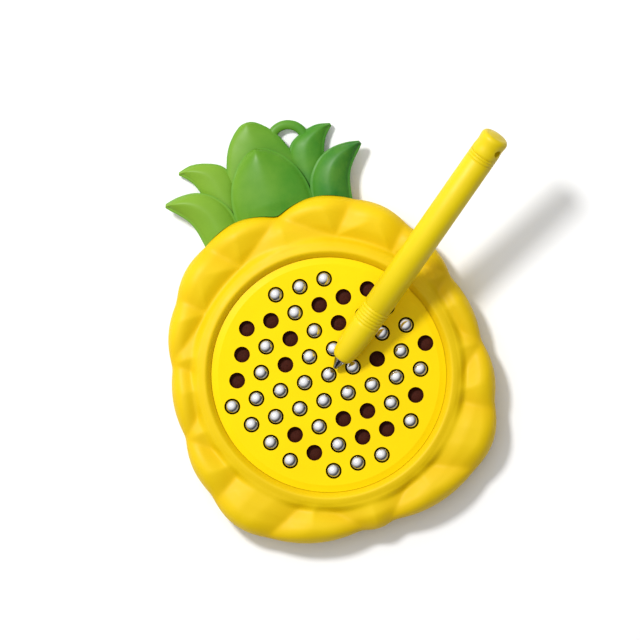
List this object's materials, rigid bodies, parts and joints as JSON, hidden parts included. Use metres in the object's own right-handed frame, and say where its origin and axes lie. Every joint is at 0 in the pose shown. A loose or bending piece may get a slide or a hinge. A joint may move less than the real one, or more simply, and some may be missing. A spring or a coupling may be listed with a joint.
{
  "type": "magnetic bead drawing board",
  "caption": "Pineapple-shaped toy drawing board: steel beads that stand up or sink in a perforated face, with a magnetic pen and a leaf crown with a hang loop.",
  "frame": {"origin": "centre of the flat back face, straight under the middle bead", "axes": "+Z out of the drawing face, +Y towards the leaf crown, +X to the right seen from the front"},
  "size_m": [0.1097, 0.1179, 0.0412],
  "materials": {
    "body_yellow": "moulded, satin gloss",
    "face_yellow": "moulded, smooth",
    "sheet_brown": "soft foam sheet, matt",
    "tray_brown": "moulded, matt",
    "leaf_green": "moulded, light to dark green",
    "pen_yellow": "moulded, satin gloss",
    "bead_steel": "polished steel ball",
    "tip_steel": "polished turned steel",
    "magnet_steel": "plated bar magnet",
    "screw_steel": "zinc plated"
  },
  "bodies": {
    "board": {"front_shell": "body_yellow", "shell_bosses": "body_yellow", "face_plate": "face_yellow", "retaining_sheet": "sheet_brown", "bead_tray": "tray_brown", "rear_cover": "body_yellow", "case_screws": "screw_steel", "crown_front": "leaf_green", "crown_back": "leaf_green"},
    "pen": {"pen_barrel": "pen_yellow", "pen_tip": "tip_steel", "pen_magnet": "magnet_steel", "pen_end_cap": "pen_yellow"},
    "beads_row_1": {"beads_row_1": "bead_steel"},
    "beads_row_6": {"beads_row_6": "bead_steel"},
    "beads_row_9": {"beads_row_9": "bead_steel"},
    "bead_2_1": {"bead_2_1": "bead_steel"},
    "bead_2_2": {"bead_2_2": "bead_steel"},
    "bead_2_3": {"bead_2_3": "bead_steel"},
    "bead_2_4": {"bead_2_4": "bead_steel"},
    "bead_2_5": {"bead_2_5": "bead_steel"},
    "bead_2_6": {"bead_2_6": "bead_steel"},
    "bead_3_1": {"bead_3_1": "bead_steel"},
    "bead_3_2": {"bead_3_2": "bead_steel"},
    "bead_3_3": {"bead_3_3": "bead_steel"},
    "bead_3_4": {"bead_3_4": "bead_steel"},
    "bead_3_5": {"bead_3_5": "bead_steel"},
    "bead_3_6": {"bead_3_6": "bead_steel"},
    "bead_3_7": {"bead_3_7": "bead_steel"},
    "bead_4_1": {"bead_4_1": "bead_steel"},
    "bead_4_2": {"bead_4_2": "bead_steel"},
    "bead_4_3": {"bead_4_3": "bead_steel"},
    "bead_4_4": {"bead_4_4": "bead_steel"},
    "bead_4_5": {"bead_4_5": "bead_steel"},
    "bead_4_6": {"bead_4_6": "bead_steel"},
    "bead_4_7": {"bead_4_7": "bead_steel"},
    "bead_4_8": {"bead_4_8": "bead_steel"},
    "bead_5_1": {"bead_5_1": "bead_steel"},
    "bead_5_2": {"bead_5_2": "bead_steel"},
    "bead_5_3": {"bead_5_3": "bead_steel"},
    "bead_5_4": {"bead_5_4": "bead_steel"},
    "bead_5_5": {"bead_5_5": "bead_steel"},
    "bead_5_6": {"bead_5_6": "bead_steel"},
    "bead_5_7": {"bead_5_7": "bead_steel"},
    "bead_5_8": {"bead_5_8": "bead_steel"},
    "bead_5_9": {"bead_5_9": "bead_steel"},
    "bead_7_1": {"bead_7_1": "bead_steel"},
    "bead_7_2": {"bead_7_2": "bead_steel"},
    "bead_7_3": {"bead_7_3": "bead_steel"},
    "bead_7_4": {"bead_7_4": "bead_steel"},
    "bead_7_5": {"bead_7_5": "bead_steel"},
    "bead_7_6": {"bead_7_6": "bead_steel"},
    "bead_7_7": {"bead_7_7": "bead_steel"},
    "bead_8_1": {"bead_8_1": "bead_steel"},
    "bead_8_2": {"bead_8_2": "bead_steel"},
    "bead_8_3": {"bead_8_3": "bead_steel"},
    "bead_8_4": {"bead_8_4": "bead_steel"},
    "bead_8_5": {"bead_8_5": "bead_steel"},
    "bead_8_6": {"bead_8_6": "bead_steel"}
  },
  "joints": [
    {"name": "pen_lift", "type": "slide", "parent": "board", "child": "pen", "axis": [0.7595, 0.5724, 0.309], "range_m": [0, 0.12]},
    {"name": "beads_row_1_slide", "type": "slide", "parent": "board", "child": "beads_row_1", "axis": [0, 0, 1], "range_m": [-0.0037, 0]},
    {"name": "beads_row_6_slide", "type": "slide", "parent": "board", "child": "beads_row_6", "axis": [0, 0, 1], "range_m": [-0.0037, 0]},
    {"name": "beads_row_9_slide", "type": "slide", "parent": "board", "child": "beads_row_9", "axis": [0, 0, 1], "range_m": [-0.0037, 0]},
    {"name": "bead_2_1_slide", "type": "slide", "parent": "board", "child": "bead_2_1", "axis": [0, 0, 1], "range_m": [0, 0.0037]},
    {"name": "bead_2_2_slide", "type": "slide", "parent": "board", "child": "bead_2_2", "axis": [0, 0, 1], "range_m": [0, 0.0037]},
    {"name": "bead_2_3_slide", "type": "slide", "parent": "board", "child": "bead_2_3", "axis": [0, 0, 1], "range_m": [-0.0037, 0]},
    {"name": "bead_2_4_slide", "type": "slide", "parent": "board", "child": "bead_2_4", "axis": [0, 0, 1], "range_m": [0, 0.0037]},
    {"name": "bead_2_5_slide", "type": "slide", "parent": "board", "child": "bead_2_5", "axis": [0, 0, 1], "range_m": [0, 0.0037]},
    {"name": "bead_2_6_slide", "type": "slide", "parent": "board", "child": "bead_2_6", "axis": [0, 0, 1], "range_m": [0, 0.0037]},
    {"name": "bead_3_1_slide", "type": "slide", "parent": "board", "child": "bead_3_1", "axis": [0, 0, 1], "range_m": [0, 0.0037]},
    {"name": "bead_3_2_slide", "type": "slide", "parent": "board", "child": "bead_3_2", "axis": [0, 0, 1], "range_m": [-0.0037, 0]},
    {"name": "bead_3_3_slide", "type": "slide", "parent": "board", "child": "bead_3_3", "axis": [0, 0, 1], "range_m": [0, 0.0037]},
    {"name": "bead_3_4_slide", "type": "slide", "parent": "board", "child": "bead_3_4", "axis": [0, 0, 1], "range_m": [-0.0037, 0]},
    {"name": "bead_3_5_slide", "type": "slide", "parent": "board", "child": "bead_3_5", "axis": [0, 0, 1], "range_m": [0, 0.0037]},
    {"name": "bead_3_6_slide", "type": "slide", "parent": "board", "child": "bead_3_6", "axis": [0, 0, 1], "range_m": [-0.0037, 0]},
    {"name": "bead_3_7_slide", "type": "slide", "parent": "board", "child": "bead_3_7", "axis": [0, 0, 1], "range_m": [-0.0037, 0]},
    {"name": "bead_4_1_slide", "type": "slide", "parent": "board", "child": "bead_4_1", "axis": [0, 0, 1], "range_m": [0, 0.0037]},
    {"name": "bead_4_2_slide", "type": "slide", "parent": "board", "child": "bead_4_2", "axis": [0, 0, 1], "range_m": [-0.0037, 0]},
    {"name": "bead_4_3_slide", "type": "slide", "parent": "board", "child": "bead_4_3", "axis": [0, 0, 1], "range_m": [0, 0.0037]},
    {"name": "bead_4_4_slide", "type": "slide", "parent": "board", "child": "bead_4_4", "axis": [0, 0, 1], "range_m": [-0.0037, 0]},
    {"name": "bead_4_5_slide", "type": "slide", "parent": "board", "child": "bead_4_5", "axis": [0, 0, 1], "range_m": [-0.0037, 0]},
    {"name": "bead_4_6_slide", "type": "slide", "parent": "board", "child": "bead_4_6", "axis": [0, 0, 1], "range_m": [-0.0037, 0]},
    {"name": "bead_4_7_slide", "type": "slide", "parent": "board", "child": "bead_4_7", "axis": [0, 0, 1], "range_m": [-0.0037, 0]},
    {"name": "bead_4_8_slide", "type": "slide", "parent": "board", "child": "bead_4_8", "axis": [0, 0, 1], "range_m": [-0.0037, 0]},
    {"name": "bead_5_1_slide", "type": "slide", "parent": "board", "child": "bead_5_1", "axis": [0, 0, 1], "range_m": [-0.0037, 0]},
    {"name": "bead_5_2_slide", "type": "slide", "parent": "board", "child": "bead_5_2", "axis": [0, 0, 1], "range_m": [-0.0037, 0]},
    {"name": "bead_5_3_slide", "type": "slide", "parent": "board", "child": "bead_5_3", "axis": [0, 0, 1], "range_m": [-0.0037, 0]},
    {"name": "bead_5_4_slide", "type": "slide", "parent": "board", "child": "bead_5_4", "axis": [0, 0, 1], "range_m": [-0.0037, 0]},
    {"name": "bead_5_5_slide", "type": "slide", "parent": "board", "child": "bead_5_5", "axis": [0, 0, 1], "range_m": [-0.0037, 0]},
    {"name": "bead_5_6_slide", "type": "slide", "parent": "board", "child": "bead_5_6", "axis": [0, 0, 1], "range_m": [-0.0037, 0]},
    {"name": "bead_5_7_slide", "type": "slide", "parent": "board", "child": "bead_5_7", "axis": [0, 0, 1], "range_m": [0, 0.0037]},
    {"name": "bead_5_8_slide", "type": "slide", "parent": "board", "child": "bead_5_8", "axis": [0, 0, 1], "range_m": [-0.0037, 0]},
    {"name": "bead_5_9_slide", "type": "slide", "parent": "board", "child": "bead_5_9", "axis": [0, 0, 1], "range_m": [0, 0.0037]},
    {"name": "bead_7_1_slide", "type": "slide", "parent": "board", "child": "bead_7_1", "axis": [0, 0, 1], "range_m": [-0.0037, 0]},
    {"name": "bead_7_2_slide", "type": "slide", "parent": "board", "child": "bead_7_2", "axis": [0, 0, 1], "range_m": [0, 0.0037]},
    {"name": "bead_7_3_slide", "type": "slide", "parent": "board", "child": "bead_7_3", "axis": [0, 0, 1], "range_m": [-0.0037, 0]},
    {"name": "bead_7_4_slide", "type": "slide", "parent": "board", "child": "bead_7_4", "axis": [0, 0, 1], "range_m": [0, 0.0037]},
    {"name": "bead_7_5_slide", "type": "slide", "parent": "board", "child": "bead_7_5", "axis": [0, 0, 1], "range_m": [0, 0.0037]},
    {"name": "bead_7_6_slide", "type": "slide", "parent": "board", "child": "bead_7_6", "axis": [0, 0, 1], "range_m": [-0.0037, 0]},
    {"name": "bead_7_7_slide", "type": "slide", "parent": "board", "child": "bead_7_7", "axis": [0, 0, 1], "range_m": [0, 0.0037]},
    {"name": "bead_8_1_slide", "type": "slide", "parent": "board", "child": "bead_8_1", "axis": [0, 0, 1], "range_m": [-0.0037, 0]},
    {"name": "bead_8_2_slide", "type": "slide", "parent": "board", "child": "bead_8_2", "axis": [0, 0, 1], "range_m": [0, 0.0037]},
    {"name": "bead_8_3_slide", "type": "slide", "parent": "board", "child": "bead_8_3", "axis": [0, 0, 1], "range_m": [-0.0037, 0]},
    {"name": "bead_8_4_slide", "type": "slide", "parent": "board", "child": "bead_8_4", "axis": [0, 0, 1], "range_m": [0, 0.0037]},
    {"name": "bead_8_5_slide", "type": "slide", "parent": "board", "child": "bead_8_5", "axis": [0, 0, 1], "range_m": [0, 0.0037]},
    {"name": "bead_8_6_slide", "type": "slide", "parent": "board", "child": "bead_8_6", "axis": [0, 0, 1], "range_m": [-0.0037, 0]}
  ]
}
